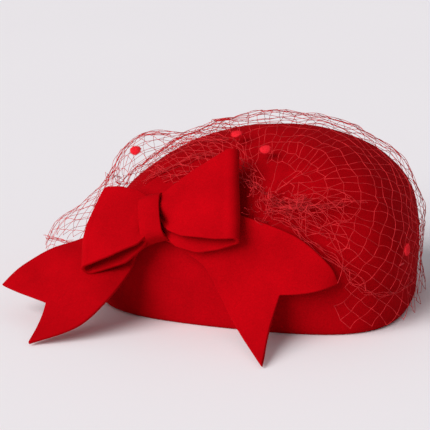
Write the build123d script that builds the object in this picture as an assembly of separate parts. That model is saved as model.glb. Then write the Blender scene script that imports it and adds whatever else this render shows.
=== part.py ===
from build123d import *
from math import cos, radians, sin
import os

# A felt fascinator: a blocked crown with a folded edge, a felt bow and a net veil.
# Millimetres. +Z is up, the origin is the middle of the crown's edge where it rests,
# +X runs to the wearer's back and -Y is the side that carries the bow.

# ---- Crown ----
HALF_LENGTH = 106.5
HALF_WIDTH = 84.0
CROWN_HEIGHT = 117.0
WIDEST_Z = 22.0
SHOULDER_ROUND = 1.22       # power of the dome's plan, larger is more pointed
DOME_FULLNESS = 0.67        # power of the dome's rise, smaller is fuller
CORNER_FULLNESS = 0.80      # handle of the outline's curves, 0.55 is an ellipse
LEAN = 0.04                 # how far the top leans to +X, per height
TILT = 0.07                 # how much higher the +X end stands than the middle
FELT = 2.5
DOME_ANGLES = (0, 9, 19, 30, 42, 54, 66, 76, 84)

# ---- Folded edge and what lies inside it ----
EDGE_ROLL = 3.0             # how far the outer face rolls under at the bottom
ROLL_HEIGHT = 4.0
HEM_HEIGHT = 10.0
GROOVE = 1.5                # room for the wire between the two layers of the fold
HEM_THICK = FELT + GROOVE + FELT
GROOVE_FLOOR = 2.8
WIRE_RADIUS = 0.6
BAND_HEIGHT = 25.0
BAND_FLOOR = 3.0
BAND_THICK = 0.8
LINING_THICK = 0.6
LINING_GAP = 0.8
SIDE_TOP = 70.0             # where the side meets the tip, in the felt and in the lining
GAP = 0.3                   # between pieces that lie on each other
TAB_X = (24, 38)            # where the ribbon's join is
FAR = 200                   # beyond every piece

# ---- Combs ----
SPINE_RADIUS = 0.75
TOOTH_RADIUS = 0.6
TOOTH_LENGTH = 36.0
TOOTH_COUNT = 15
TOOTH_PITCH = 3.4
COMB_Z = 7.0
COMB_STAND_OFF = 3.4        # spine axis to the band's face in the middle of the band's end
THREAD_RADIUS = 0.35
THREAD_CLEARANCE = 0.05
THREAD_SPACES = (-6.5, -2.5, 2.5, 6.5)   # places along the spine, in tooth pitches
STITCH = 12.0               # from the spine's axis to beyond the sweatband's face

# ---- Bow ----
BOW_FELT = 2.4
KNOT_POINT = Vector(-45.4, -74.4, 66.5)     # on the crown, under the middle of the knot
KNOT_OUT = Vector(-0.23, -0.81, 0.54)
KNOT_ALONG = Vector(0.94, -0.03, 0.34)
RIGHT_OUT = Vector(-0.03, -0.83, 0.56)
RIGHT_ALONG = Vector(0.96, -0.02, 0.285)
LEFT_OUT = Vector(-0.36, -0.72, 0.60)
LEFT_ALONG = Vector(-0.96, -0.04, -0.26)
KNOT_WIDTH = 15.0
KNOT_HEIGHT = 38.0
KNOT_FRONT = 15.0           # back of the knot's front wall, out from KNOT_POINT
KNOT_BACK = 3.6             # where the wrap's turned-in ends stop, out from KNOT_POINT
NECK_OUT = 9.8              # middle of the loops' necks, out from KNOT_POINT
TAIL_OUT = 4.3              # middle of the tails' necks, out from KNOT_POINT
NECK_RADIUS = 2.6
FOLD_RADIUS = 5.6
RIGHT_LOOP = (53.5, 11.5, 32.0)     # length to the fold's middle, half widths at knot and fold
LEFT_LOOP = (45.0, 10.0, 26.0)
BASE_RADIUS = 8.5
BASE_THICK = 1.2
BASE_REACH = 12.0           # how far the patch's cutter runs each side of the crown's face

# Each tail is a felt strip through pairs of edge points, upper then lower, from the knot
# to the tips, and the notch is the inner corner of its swallow cut.
LEFT_TAIL = [
    ((-81.0, -70.5, 61.0), (-58.0, -87.5, 48.0)),
    ((-101.0, -73.0, 49.5), (-62.0, -95.0, 36.0)),
    ((-121.0, -80.0, 42.0), (-70.0, -118.0, 22.5)),
    ((-137.0, -88.0, 32.5), (-84.5, -133.0, 9.6)),
    ((-150.0, -96.0, 19.5), (-109.5, -145.0, 2.4)),
]
LEFT_NOTCH = (-115.0, -114.0, 16.8)
RIGHT_TAIL = [
    ((-20.0, -76.5, 79.5), (-29.0, -85.5, 51.6)),
    ((11.0, -81.0, 75.2), (-13.0, -88.2, 42.4)),
    ((44.0, -83.2, 65.8), (-2.3, -89.0, 24.1)),
    ((65.0, -82.8, 49.8), (12.0, -103.0, 9.5)),
    ((71.3, -82.0, 37.6), (38.6, -140.0, 2.4)),
]
RIGHT_NOTCH = (41.0, -94.5, 27.0)
PAST_TIPS = 1.5             # how far the swallow cut runs past the tips, in its own lengths
CUT_DEPTH = 15.0            # each side of the felt
NECK_HALF = 11.0
TAIL_DROP = 3.5             # how far the tails' necks sit below the middle of the knot
NECK_APART = 1.2            # between the pieces that meet under the knot

# ---- Veil ----
NET = 0.8                   # thickness that stands for the net
VEIL_HEM_Z = 8.0
VEIL_SEAM = 1.0             # between the cap and the free lobe
FRONT_OPENING = [(-200, -10), (-200, 86), (4, 90), (84, 22), (50, -10)]    # X and Z
OPENING_Y = -30.0           # where the opening stops, inside the crown
GATHER_POINT = Vector(21.5, -77.0, 86.0)
GATHER_OUT = Vector(0.0, -0.80, 0.60)
GATHER_SEMI = Vector(8.0, 15.0, 7.0)
VEIL_SIDE = 1.6             # net over felt at the sides
VEIL_TOP = 7.0              # net over felt at the top
LOBE_CENTRE = Vector(-78.0, -2.0, 58.0)
LOBE_SEMI = Vector(72.0, 50.0, 62.0)
LOBE_START_X = -52.0
LOBE_HEM_Z = 30.0
DOT_RADIUS = 3.8
DOT_THICK = 2.4
CAP_DOTS = [(277.5, 52), (258, 62.5), (339, 7), (62, 30), (108, 34), (150, 14), (75, 10)]
LOBE_DOTS = [(0.03, -0.60, 0.80)]
VEIL_TACKS = [(30, 4), (75, 4), (105, 4), (150, 4), (335, 4)]
TACK_LENGTH = 5.0
TACK_RADIUS = 0.5


def crown_point(x, y, z):
    """An upright crown's point, leant and tilted to the real shape."""
    leant = x + LEAN * z
    return Vector(leant, y, z * (1 + TILT * leant / HALF_LENGTH))


def outline(semi_x, semi_y, z):
    """The crown's squared oval at height z, as four Bezier quarters."""
    k = CORNER_FULLNESS
    corners = [(semi_x, 0), (0, semi_y), (-semi_x, 0), (0, -semi_y)]
    edges = []
    for start, end in zip(corners, corners[1:] + corners[:1]):
        first = (start[0] + k * end[0], start[1] + k * end[1])
        second = (end[0] + k * start[0], end[1] + k * start[1])
        points = [crown_point(x, y, z) for x, y in (start, first, second, end)]
        edges.append(Edge.make_bezier(*points))
    return Wire(edges)


def wall(inset, low, high):
    """The upright wall's solid between two heights, moved in by inset."""
    size = (HALF_LENGTH - inset, HALF_WIDTH - inset)
    return Solid.make_loft([outline(*size, low), outline(*size, high)], ruled=True)


def dome(inset, top_inset=None):
    """The crown's solid above its widest line, moved in by inset."""
    top = CROWN_HEIGHT - (inset if top_inset is None else top_inset)
    sections = []
    for angle in DOME_ANGLES:
        share = cos(radians(angle)) ** SHOULDER_ROUND
        z = WIDEST_Z + (top - WIDEST_Z) * sin(radians(angle)) ** DOME_FULLNESS
        sections.append(outline((HALF_LENGTH - inset) * share, (HALF_WIDTH - inset) * share, z))
    return Solid.make_loft(sections)


def bell(inset, low, top_inset=None):
    """The whole crown form, moved in by inset, down to height low."""
    return wall(inset, low, WIDEST_Z) + dome(inset, top_inset)


def block(low, high):
    """An upright box between two corners."""
    size = [b - a for a, b in zip(low, high)]
    middle = [(a + b) / 2 for a, b in zip(low, high)]
    return Pos(*middle) * Box(*size)


def frame_at(point, along, out):
    """Local axes on the bow: X along the strip, Y across it, Z out of the crown."""
    along = along.normalized()
    square = out - along * out.dot(along)
    return Plane(origin=point, x_dir=along, z_dir=square)


def rod(start, end, radius):
    """A round bar between two points."""
    start, end = Vector(*start), Vector(*end)
    return Solid.make_cylinder(radius, (end - start).length, Plane(start, z_dir=end - start))


# ---- Crown and what lies inside it ----

def make_crown_felt():
    """The blocked felt with its edge folded under, open in the fold for the wire."""
    sizes = [(HALF_LENGTH - roll, HALF_WIDTH - roll) for roll in (EDGE_ROLL, EDGE_ROLL / 3, 0)]
    foot = [outline(*size, ROLL_HEIGHT * step / 3) for size, step in zip(sizes, (0, 1, 3))]
    lower = Solid.make_loft(foot + [outline(*sizes[-1], WIDEST_Z)], ruled=True)
    shell = lower + dome(0) - bell(FELT, GROOVE_FLOOR)
    shell += wall(FELT + GROOVE, GROOVE_FLOOR / 2, HEM_HEIGHT)
    return shell - wall(HEM_THICK, -1, HEM_HEIGHT + 1)


def make_rim_wire():
    inset = FELT + GROOVE / 2
    path = outline(HALF_LENGTH - inset, HALF_WIDTH - inset, GROOVE_FLOOR + WIRE_RADIUS + 0.1)
    start = path.position_at(0)
    ring = Plane(start, z_dir=path.tangent_at(0)) * Circle(WIRE_RADIUS)
    return sweep(ring, path)


def make_sweatband():
    inset = HEM_THICK + GAP
    high = BAND_FLOOR + BAND_HEIGHT
    return wall(inset, BAND_FLOOR, high) - wall(inset + BAND_THICK, 0, high + 1)


def band_face():
    """How far the sweatband's inner face is inside the crown's outer face."""
    return HEM_THICK + GAP + BAND_THICK


def make_ribbon_join_tab():
    """The small folded ribbon over the sweatband's join, on the side away from the bow."""
    low, high = BAND_FLOOR + 1, BAND_FLOOR + BAND_HEIGHT - 1
    inset = band_face() + 0.1
    tab = wall(inset, low, high) - wall(inset + BAND_THICK, low - 1, high + 1)
    return tab & block((TAB_X[0], 0, 0), (TAB_X[1], HALF_WIDTH, SIDE_TOP))


def make_lining_side():
    inset = FELT + LINING_GAP
    floor = HEM_HEIGHT + 2
    shell = bell(inset, floor) - bell(inset + LINING_THICK, floor - 1)
    return shell - block((-FAR, -FAR, SIDE_TOP), (FAR, FAR, FAR))


def make_lining_tip():
    inset = FELT + LINING_GAP
    shell = bell(inset, WIDEST_Z - 1) - bell(inset + LINING_THICK, WIDEST_Z - 2)
    return shell - block((-FAR, -FAR, 0), (FAR, FAR, SIDE_TOP + GAP))


def comb_axis_x(side):
    """Where a comb's spine lies along X, side -1 for the front and 1 for the back."""
    return side * (HALF_LENGTH - band_face() - COMB_STAND_OFF) + LEAN * COMB_Z


def make_comb(side):
    x = comb_axis_x(side)
    half = (TOOTH_COUNT + 1) * TOOTH_PITCH / 2
    comb = rod((x, -half, COMB_Z), (x, half, COMB_Z), SPINE_RADIUS)
    lean = Vector(LEAN, 0, 1).normalized()
    for index in range(TOOTH_COUNT):
        y = (index - (TOOTH_COUNT - 1) / 2) * TOOTH_PITCH
        foot = Vector(x, y, COMB_Z)
        tip = foot + lean * TOOTH_LENGTH
        comb += rod(foot, tip, TOOTH_RADIUS) + Pos(*tip) * Sphere(TOOTH_RADIUS)
    return comb


def make_comb_threads(side):
    """Loops of thread round the spine, each with its stitch into the sweatband."""
    x = comb_axis_x(side)
    major = SPINE_RADIUS + THREAD_CLEARANCE + THREAD_RADIUS
    threads = []
    for place in THREAD_SPACES:
        y = place * TOOTH_PITCH
        loop = Plane((x, y, COMB_Z), z_dir=(0, 1, 0)) * Torus(major, THREAD_RADIUS)
        reach = wall(band_face(), COMB_Z - 2, COMB_Z + 2)
        stitch = rod((x + side * major, y, COMB_Z), (x + side * STITCH, y, COMB_Z), THREAD_RADIUS)
        threads.append(loop + (stitch & reach))
    return Compound(threads)


# ---- Bow ----

def make_loop(along, out, size):
    """A strip folded back on itself, narrow at the knot and wide at the fold."""
    length, half_neck, half_fold = size
    origin = KNOT_POINT + KNOT_OUT.normalized() * NECK_OUT
    local = frame_at(origin, along, out)
    start = NECK_RADIUS + NECK_APART
    with BuildSketch() as profile:
        with BuildLine():
            add(Wire(hull_edges(start, NECK_RADIUS, length, FOLD_RADIUS)))
        make_face()
    with BuildSketch() as hollow:
        with BuildLine():
            add(Wire(hull_edges(start, NECK_RADIUS - BOW_FELT, length, FOLD_RADIUS - BOW_FELT)))
        make_face()
    ring = extrude(profile.sketch, half_fold, both=True)
    ring -= extrude(hollow.sketch, half_fold + 1, both=True)
    end = length + FOLD_RADIUS + 1
    flare = make_face(Polyline((0, -half_neck), (end, -half_fold), (end, half_fold),
                               (0, half_neck), close=True))
    ring = Rot(90, 0, 0) * ring
    ring &= extrude(flare, FOLD_RADIUS + 1, both=True)
    return local.location * ring


def hull_edges(x_small, small, x_large, large):
    """The outline round two circles on one line: two arcs and two tangents."""
    turn = (large - small) / (x_large - x_small)
    rise = (1 - turn * turn) ** 0.5
    small_top = (x_small - small * turn, small * rise)
    large_top = (x_large - large * turn, large * rise)
    small_low = (small_top[0], -small_top[1])
    large_low = (large_top[0], -large_top[1])
    return [
        Edge.make_line(small_top, large_top),
        ThreePointArc(large_top, (x_large + large, 0), large_low).edge(),
        Edge.make_line(large_low, small_low),
        ThreePointArc(small_low, (x_small - small, 0), small_top).edge(),
    ]


def make_bow_knot():
    """The felt wrap: a front wall whose two ends turn back to the crown."""
    local = frame_at(KNOT_POINT, KNOT_ALONG, KNOT_OUT)
    top = KNOT_FRONT + BOW_FELT
    behind = Pos(-top, 0) * Rectangle(2 * (top + KNOT_BACK), 2 * KNOT_HEIGHT)
    outer = Rectangle(2 * top, KNOT_HEIGHT) - behind
    outer = fillet(outer.vertices().group_by(Axis.X)[-1], BOW_FELT + 2)
    inner = Rectangle(2 * KNOT_FRONT, KNOT_HEIGHT - 2 * BOW_FELT)
    inner = fillet(inner.vertices().group_by(Axis.X)[-1], 2)
    wrap = extrude(outer - inner, KNOT_WIDTH / 2, both=True)
    return local.location * (Rot(0, -90, 0) * wrap)


def make_tail(pairs, side, notch):
    """A felt strip lofted through its edge points, with the swallow cut at its end."""
    out = KNOT_OUT.normalized()
    along = KNOT_ALONG.normalized()
    across = out.cross(along)
    start = KNOT_POINT + out * TAIL_OUT + along * (side * NECK_APART) - across * TAIL_DROP
    rows = [(start + across * NECK_HALF, start - across * NECK_HALF)]
    rows += [(Vector(*upper), Vector(*lower)) for upper, lower in pairs]
    wires = []
    for index, (upper, lower) in enumerate(rows):
        before = rows[max(index - 1, 0)]
        after = rows[min(index + 1, len(rows) - 1)]
        run = (after[0] + after[1]) - (before[0] + before[1])
        face_out = run.cross(upper - lower).normalized() * (side * BOW_FELT / 2)
        corners = [lower - face_out, upper - face_out, upper + face_out, lower + face_out]
        wires.append(Wire.make_polygon(corners, close=True))
    strip = Solid.make_loft(wires)
    return strip - swallow_cut(rows[-1], Vector(*notch))


def swallow_cut(tips, notch):
    """The wedge between the two tips of a tail, its edge at the notch."""
    upper, lower = [notch + (tip - notch) * PAST_TIPS for tip in tips]
    out = (upper - notch).cross(lower - notch).normalized() * CUT_DEPTH
    corners = [upper, notch, lower]
    wedge = Wire.make_polygon([c - out for c in corners], close=True)
    return Solid.extrude(Face(wedge), out * 2)


def make_bow_base():
    """The felt patch on the crown under the knot."""
    skin = bell(-GAP - BASE_THICK, WIDEST_Z) - bell(-GAP, WIDEST_Z - 1)
    foot = KNOT_POINT - KNOT_OUT.normalized() * BASE_REACH
    return skin & Solid.make_cylinder(BASE_RADIUS, 2 * BASE_REACH,
                                      frame_at(foot, KNOT_ALONG, KNOT_OUT))


# ---- Veil ----

def front_opening():
    """What the net leaves bare: the crown's bow side, under the bow and between its tails."""
    face = make_face(Polyline(*FRONT_OPENING, close=True))
    return Pos(0, OPENING_Y, 0) * (Rot(90, 0, 0) * extrude(face, FAR))


def make_veil_cap():
    """The net over the crown's top, back and right side."""
    skin = bell(-VEIL_SIDE - NET, VEIL_HEM_Z, -VEIL_TOP - NET)
    skin -= bell(-VEIL_SIDE, VEIL_HEM_Z - 1, -VEIL_TOP)
    return skin - front_opening()


def egg(grow):
    """The free lobe's full form, a long egg, grown by the net's thickness."""
    size = LOBE_SEMI + Vector(grow, grow, grow)
    return Pos(*LOBE_CENTRE) * scale(Sphere(1), by=tuple(size))


def make_veil_front():
    """The free front lobe of the net, off the crown's -X end."""
    skin = egg(NET / 2) - egg(-NET / 2)
    skin &= block((-FAR, -FAR, LOBE_HEM_Z), (LOBE_START_X, FAR, FAR))
    skin -= bell(-VEIL_SIDE - NET - VEIL_SEAM, -1, -VEIL_TOP - NET - VEIL_SEAM)
    return max(skin.solids(), key=lambda solid: solid.volume)


def make_veil_gather():
    """The net drawn together in a bunch beside the bow's right loop."""
    local = frame_at(GATHER_POINT, RIGHT_ALONG, GATHER_OUT)
    bunch = local.location * scale(Sphere(1), by=tuple(GATHER_SEMI))
    keep_off = bell(-VEIL_SIDE - NET - GAP, WIDEST_Z, -VEIL_TOP - NET - GAP)
    return max((bunch - keep_off).solids(), key=lambda solid: solid.volume)


def dot_on(point, out):
    """A round chenille dot lying on the net, its foot at the point."""
    out = Vector(*out).normalized()
    foot = Vector(*point) + out * GAP
    disc = Solid.make_cylinder(DOT_RADIUS, DOT_THICK, Plane(foot, z_dir=out))
    return fillet(disc.edges().filter_by(GeomType.CIRCLE), DOT_THICK * 0.4)


def cap_point(turn, angle):
    """The place on the net at a turn round +Z and a dome angle, and its normal."""
    def place(turn, angle):
        share = cos(radians(angle)) ** SHOULDER_ROUND
        top = CROWN_HEIGHT + VEIL_TOP + NET
        z = WIDEST_Z + (top - WIDEST_Z) * sin(radians(angle)) ** DOME_FULLNESS
        side = VEIL_SIDE + NET
        edge = outline((HALF_LENGTH + side) * share, (HALF_WIDTH + side) * share, z)
        return edge.position_at((turn % 360) / 360)
    here = place(turn, angle)
    along = place(turn + 1, angle) - place(turn - 1, angle)
    up = place(turn, angle + 1) - place(turn, angle - 1)
    return here, along.cross(up).normalized()


def make_veil_dots():
    return Compound([dot_on(*cap_point(turn, angle)) for turn, angle in CAP_DOTS])


def make_veil_front_dots():
    """The dot on the free lobe, on the egg's side that faces out and up."""
    dots = []
    for direction in LOBE_DOTS:
        unit = Vector(*direction).normalized()
        reach = [part / (size + NET / 2) for part, size in zip(unit, LOBE_SEMI)]
        length = 1 / sum(part * part for part in reach) ** 0.5
        normal = Vector(*[part / (size + NET / 2) for part, size in zip(reach, LOBE_SEMI)])
        dots.append(dot_on(LOBE_CENTRE + unit * length, normal))
    return Compound(dots)


def make_veil_tacks():
    """Bar tacks of thread that hold the net down to the felt near its hem."""
    tacks = []
    for turn, angle in VEIL_TACKS:
        point, out = cap_point(turn, angle)
        across = out.cross(Vector(0, 0, 1)).normalized() * TACK_LENGTH / 2
        foot = point + out * (GAP + TACK_RADIUS)
        tacks.append(rod(foot - across, foot + across, TACK_RADIUS))
    return Compound(tacks)


# ---- Write one file for each piece ----

def save(name, shape):
    os.makedirs("parts", exist_ok=True)
    export_step(shape, "parts/" + name + ".step")
    solids = shape.solids()
    print(name, len(solids), [round(s.volume) for s in solids][:3], shape.is_valid)


if __name__ == "__main__":
    felt = make_crown_felt()
    save("crown_side", felt & block((-FAR, -FAR, -1), (FAR, FAR, SIDE_TOP)))
    save("crown_tip", felt & block((-FAR, -FAR, SIDE_TOP), (FAR, FAR, FAR)))
    save("rim_wire", make_rim_wire())
    save("sweatband", make_sweatband())
    save("ribbon_join_tab", make_ribbon_join_tab())
    save("lining_side", make_lining_side())
    save("lining_tip", make_lining_tip())
    save("front_comb", make_comb(-1))
    save("back_comb", make_comb(1))
    save("front_comb_threads", make_comb_threads(-1))
    save("back_comb_threads", make_comb_threads(1))
    save("bow_base", make_bow_base())
    save("bow_left_tail", make_tail(LEFT_TAIL, -1, LEFT_NOTCH))
    save("bow_right_tail", make_tail(RIGHT_TAIL, 1, RIGHT_NOTCH))
    save("bow_left_loop", make_loop(LEFT_ALONG, LEFT_OUT, LEFT_LOOP))
    save("bow_right_loop", make_loop(RIGHT_ALONG, RIGHT_OUT, RIGHT_LOOP))
    save("bow_knot", make_bow_knot())
    save("veil_cap", make_veil_cap())
    save("veil_front", make_veil_front())
    save("veil_gather", make_veil_gather())
    save("veil_dots", make_veil_dots())
    save("veil_front_dots", make_veil_front_dots())
    save("veil_tacks", make_veil_tacks())
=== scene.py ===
import math

import bmesh
import bpy
import numpy as np
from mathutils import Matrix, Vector, noise


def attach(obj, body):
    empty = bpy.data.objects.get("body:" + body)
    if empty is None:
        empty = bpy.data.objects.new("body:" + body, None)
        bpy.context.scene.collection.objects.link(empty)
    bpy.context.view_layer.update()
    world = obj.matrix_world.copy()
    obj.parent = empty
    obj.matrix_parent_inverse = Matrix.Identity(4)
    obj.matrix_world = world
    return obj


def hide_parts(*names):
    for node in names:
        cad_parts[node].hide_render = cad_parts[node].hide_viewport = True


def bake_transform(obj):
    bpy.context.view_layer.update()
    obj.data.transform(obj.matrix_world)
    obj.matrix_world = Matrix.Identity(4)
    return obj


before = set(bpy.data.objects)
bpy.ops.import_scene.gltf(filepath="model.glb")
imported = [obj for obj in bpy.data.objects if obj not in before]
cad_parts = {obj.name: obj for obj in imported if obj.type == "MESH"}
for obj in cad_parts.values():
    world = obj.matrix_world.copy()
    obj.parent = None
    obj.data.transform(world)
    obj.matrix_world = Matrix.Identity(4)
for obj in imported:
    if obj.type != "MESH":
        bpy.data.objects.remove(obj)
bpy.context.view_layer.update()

# A felt percher with a felt bow and a French net veil. Everything is worked out in millimetres,
# in the frame of the CAD model, and made in metres by mesh_object(). Cuts of cloth are in metres.

MM = 0.001

# ---- Crown form, the same formula as the CAD model's ----
HALF_LENGTH, HALF_WIDTH = 106.5, 84.0
CROWN_HEIGHT, WIDEST_Z = 117.0, 22.0
SHOULDER_ROUND, DOME_FULLNESS, CORNER_FULLNESS = 1.22, 0.67, 0.80
LEAN, TILT = 0.04, 0.07
FELT, HEM_THICK, HEM_HEIGHT = 2.5, 6.5, 10.0

# ---- Bow ----
EASE_STEPS = 60
BOW_FELT, EDGE_ROUND = 2.4, 0.16
KNOT_POINT = np.array([-45.4, -74.4, 66.5])
KNOT_OUT = np.array([-0.23, -0.81, 0.54])
KNOT_ALONG = np.array([0.94, -0.03, 0.34])
RIGHT_OUT, RIGHT_ALONG = np.array([-0.03, -0.83, 0.56]), np.array([0.96, -0.02, 0.285])
LEFT_OUT, LEFT_ALONG = np.array([-0.36, -0.72, 0.60]), np.array([-0.96, -0.04, -0.26])
NECK_OUT, TAIL_OUT, TAIL_DROP = 9.8, 4.3, 3.5
LEFT_TAIL = [
    ((-81.0, -70.5, 61.0), (-58.0, -87.5, 48.0)),
    ((-101.0, -73.0, 49.5), (-62.0, -95.0, 36.0)),
    ((-121.0, -80.0, 42.0), (-70.0, -118.0, 22.5)),
    ((-137.0, -88.0, 32.5), (-84.5, -133.0, 9.6)),
    ((-150.0, -96.0, 19.5), (-109.5, -147.0, 2.0)),
]
RIGHT_TAIL = [
    ((-20.0, -76.5, 79.5), (-29.0, -85.5, 51.6)),
    ((11.0, -81.0, 75.2), (-13.0, -88.2, 42.4)),
    ((44.0, -83.2, 65.8), (-2.3, -89.0, 24.1)),
    ((65.0, -82.8, 49.8), (12.0, -103.0, 9.5)),
    ((71.3, -82.0, 37.6), (38.6, -142.5, 2.0)),
]


# ---------------------------------------------------------------- mesh helpers

def unit(v):
    """Vectors scaled to length 1."""
    v = np.asarray(v, float)
    return v / np.maximum(np.linalg.norm(v, axis=-1, keepdims=True), 1e-9)


def mesh_object(name, points, faces, material, smooth=True):
    """An object from points in millimetres."""
    data = bpy.data.meshes.new(name)
    data.from_pydata((np.asarray(points) * MM).tolist(), [], faces)
    data.materials.append(material)
    if smooth:
        data.polygons.foreach_set("use_smooth", [True] * len(data.polygons))
    data.validate()
    obj = bpy.data.objects.new(name, data)
    bpy.context.scene.collection.objects.link(obj)
    return obj


def grid_faces(rows, columns, start=0, wrap=False):
    """Quads between the points of a grid, row by row."""
    faces = []
    for i in range(rows - 1):
        for j in range(columns - (0 if wrap else 1)):
            k = (j + 1) % columns
            a, b = start + i * columns, start + (i + 1) * columns
            faces.append((a + j, a + k, b + k, b + j))
    return faces


def curve_through(points, samples):
    """A smooth line through points, evenly stepped in its parameter."""
    p = np.asarray(points, float)
    p = np.vstack([2 * p[0] - p[1], p, 2 * p[-1] - p[-2]])
    t = np.linspace(0, len(p) - 3 - 1e-9, samples)
    i = t.astype(int)
    f = (t - i)[:, None]
    a, b, c, d = p[i], p[i + 1], p[i + 2], p[i + 3]
    return 0.5 * (2 * b + (c - a) * f + (2 * a - 5 * b + 4 * c - d) * f ** 2
                  + (3 * b - a - 3 * c + d) * f ** 3)


def grid_normals(grid):
    """The direction square to a grid of points, at each point."""
    du, dv = np.gradient(grid, axis=0), np.gradient(grid, axis=1)
    return unit(np.cross(du, dv))


def wobble(points, size, amount, seed):
    """Smooth noise that changes over about the given size: one number for each point."""
    flat = np.asarray(points).reshape(-1, 3) / size + seed
    values = [noise.noise(Vector(p)) for p in flat]
    return np.array(values).reshape(np.asarray(points).shape[:-1]) * amount


def thick_strip(name, middle, thickness, material):
    """A closed felt strip round a middle surface, its cut edges slightly rounded."""
    rows, columns = middle.shape[:2]
    out = grid_normals(middle) * thickness / 2
    top, low = middle + out, middle - out
    count = rows * columns
    faces = grid_faces(rows, columns)
    faces += [tuple(i + count for i in reversed(f)) for f in grid_faces(rows, columns)]
    ring = [(0, j) for j in range(columns)] + [(i, columns - 1) for i in range(1, rows)]
    ring += [(rows - 1, j) for j in range(columns - 2, -1, -1)] + [(i, 0) for i in range(rows - 2, 0, -1)]
    index = np.array([i * columns + j for i, j in ring])
    edge = middle.reshape(-1, 3)[index]
    along = np.roll(edge, -1, 0) - np.roll(edge, 1, 0)
    outward = unit(np.cross(unit(out.reshape(-1, 3)[index]), along))
    inside = middle.reshape(-1, 3).mean(0)
    flip = np.sign(((edge - inside) * outward).sum())
    rim = edge + outward * flip * thickness * EDGE_ROUND
    points = np.vstack([top.reshape(-1, 3), low.reshape(-1, 3), rim])
    n = len(ring)
    for k in range(n):
        m = (k + 1) % n
        faces.append((index[k], 2 * count + k, 2 * count + m, index[m]))
        faces.append((index[k] + count, index[m] + count, 2 * count + m, 2 * count + k))
    faces = [tuple(int(i) for i in f) for f in faces]
    obj = mesh_object(name, points, faces, material)
    fix_normals(obj)
    subdivide(obj, 1)
    return obj


def fix_normals(obj):
    """Turns the faces of a closed mesh outwards."""
    bm = bmesh.new()
    bm.from_mesh(obj.data)
    bmesh.ops.recalc_face_normals(bm, faces=bm.faces)
    bm.to_mesh(obj.data)
    bm.free()


def subdivide(obj, levels):
    """Smooths a mesh by subdivision."""
    modifier = obj.modifiers.new("smooth", "SUBSURF")
    modifier.levels = modifier.render_levels = levels


def thread_mesh(name, lines, knots, material, radius):
    """Open-ended square tubes of thread along many lines, with small knots where they meet."""
    points, faces = [], []
    sides, knot_size = 4, radius * 2.1
    spin = 2 * math.pi * np.arange(sides) / sides
    for line in lines:
        line = np.asarray(line, float)
        run = unit(np.gradient(line, axis=0))
        side = unit(np.cross(run, [0.37, 0.21, 0.9]))
        other = np.cross(run, side)
        ring = line[:, None] + radius * (np.cos(spin)[None, :, None] * side[:, None]
                                         + np.sin(spin)[None, :, None] * other[:, None])
        start = sum(len(p) for p in points)
        points.append(ring.reshape(-1, 3))
        faces += grid_faces(len(line), sides, start, wrap=True)
    start = sum(len(p) for p in points)
    corners = np.array([(1, 0, 0), (-1, 0, 0), (0, 1, 0), (0, -1, 0), (0, 0, 1), (0, 0, -1)], float)
    hull = [(0, 2, 4), (2, 1, 4), (1, 3, 4), (3, 0, 4), (2, 0, 5), (1, 2, 5), (3, 1, 5), (0, 3, 5)]
    for knot in knots:
        points.append(np.asarray(knot) + corners * knot_size)
        faces += [tuple(start + i for i in f) for f in hull]
        start += 6
    return mesh_object(name, np.vstack(points), faces, material)


# ---------------------------------------------------------------- the crown's form

def squared_oval(turn):
    """Unit outline point at a turn from 0 to 1, as four Bezier quarters."""
    turn = np.asarray(turn, float) % 1.0
    quarter = (turn * 4).astype(int) % 4
    t = turn * 4 - np.floor(turn * 4)
    k = CORNER_FULLNESS
    along = (1 - t) ** 3 + 3 * (1 - t) ** 2 * t + 3 * k * (1 - t) * t ** 2
    across = 3 * k * (1 - t) ** 2 * t + 3 * (1 - t) * t ** 2 + t ** 3
    x = np.choose(quarter, [along, -across, -along, across])
    y = np.choose(quarter, [across, along, -across, -along])
    return x, y


def form(turn, rise, side=0.0, top=0.0):
    """Crown surface point. rise is -1 at the edge, 0 at the widest line and 1 at the top."""
    x0, y0 = squared_oval(turn)
    rise = np.asarray(rise, float)
    phi = np.clip(rise, 0, 1) * math.pi / 2
    share = np.maximum(np.cos(phi), 0) ** SHOULDER_ROUND
    z = WIDEST_Z * (1 + np.clip(rise, -1, 0))
    z = z + (CROWN_HEIGHT + top - WIDEST_Z) * np.sin(phi) ** DOME_FULLNESS
    x = (HALF_LENGTH + side) * share * x0 + LEAN * z
    y = (HALF_WIDTH + side) * share * y0
    z = z * (1 + TILT * x / HALF_LENGTH)
    return np.stack(np.broadcast_arrays(x, y, z), -1)


def form_level(points, side=0.0, top=0.0):
    """Below 0 inside the crown form and above 0 outside, for points in millimetres."""
    p = np.asarray(points, float)
    z = p[..., 2] / (1 + TILT * p[..., 0] / HALF_LENGTH)
    x = p[..., 0] - LEAN * z
    lift = np.clip((z - WIDEST_Z) / (CROWN_HEIGHT + top - WIDEST_Z), 0, 1.5)
    sine = np.minimum(lift, 1) ** (1 / DOME_FULLNESS)
    share = np.clip(1 - sine ** 2, 0, 1) ** (SHOULDER_ROUND / 2)
    share = share - np.clip(lift - 1, 0, 1) * 3
    turn = np.linspace(0, 0.25, 400)
    ox, oy = squared_oval(turn[:-1])
    bearing, reach = np.arctan2(oy, ox), np.hypot(ox, oy)
    u, v = np.abs(x) / (HALF_LENGTH + side), np.abs(p[..., 1]) / (HALF_WIDTH + side)
    return np.hypot(u, v) / np.interp(np.arctan2(v, u), bearing, reach) - share


# ---------------------------------------------------------------- materials

def node_material(name):
    """A new material, with its node tree and its shader."""
    material = bpy.data.materials.new(name)
    material.use_nodes = True
    tree = material.node_tree
    shader = tree.nodes["Principled BSDF"]
    return material, tree, shader


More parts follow.
